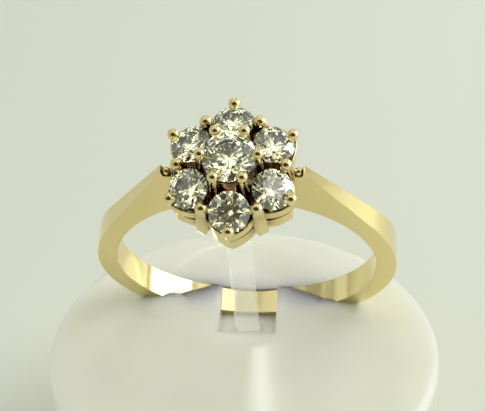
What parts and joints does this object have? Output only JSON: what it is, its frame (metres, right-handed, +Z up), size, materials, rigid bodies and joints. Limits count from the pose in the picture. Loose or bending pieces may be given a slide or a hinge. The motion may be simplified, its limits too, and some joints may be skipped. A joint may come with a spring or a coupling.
{
  "type": "flower cluster ring on display stand",
  "caption": "Yellow gold ring with a raised flower cluster of round cut stones in bead-ended claws, leaning in the slot of a plain round display stand with a clear tongue.",
  "frame": {"origin": "middle of the display stand's round underside, on the surface that it stands on", "axes": "+Z up, +X to the right of a viewer in front of the ring, +Y away from the viewer"},
  "size_m": [0.026, 0.026, 0.0311],
  "materials": {
    "gold": "polished yellow gold",
    "stone": "cut and polished",
    "frosted": "frosted translucent",
    "clear": "clear"
  },
  "bodies": {
    "root": {"ring": "gold", "centre_stone": "stone", "outer_stone_1": "stone", "outer_stone_2": "stone", "outer_stone_3": "stone", "outer_stone_4": "stone", "outer_stone_5": "stone", "outer_stone_6": "stone", "stand_base": "frosted", "stand_tongue": "clear"}
  },
  "joints": []
}
